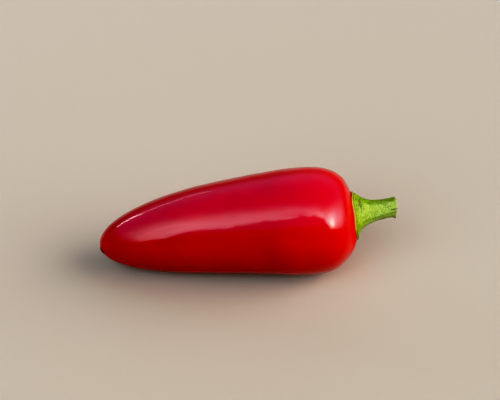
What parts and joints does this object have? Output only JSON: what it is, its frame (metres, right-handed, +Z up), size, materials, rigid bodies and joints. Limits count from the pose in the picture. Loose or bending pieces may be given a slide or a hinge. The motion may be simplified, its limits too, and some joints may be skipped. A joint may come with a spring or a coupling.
{
  "type": "chilli pepper",
  "caption": "Ripe red chilli pepper lying on its side: a glossy, blunt, tapered pod with a small green calyx and a short cut stem.",
  "frame": {"origin": "on the surface the pepper lies on, under the middle of its bounding box", "axes": "+X runs along the pepper from its tip to its stem, +Z is up, and -Y is the side seen in the picture"},
  "size_m": [0.0918, 0.0334, 0.0331],
  "materials": {
    "ripe_skin": "smooth, waxy and glossy ripe red skin",
    "green_stem": "satin, faintly ridged fresh green stem and calyx, paler where it flares"
  },
  "bodies": {
    "root": {"pod": "ripe_skin", "calyx_stem": "green_stem"}
  },
  "joints": []
}
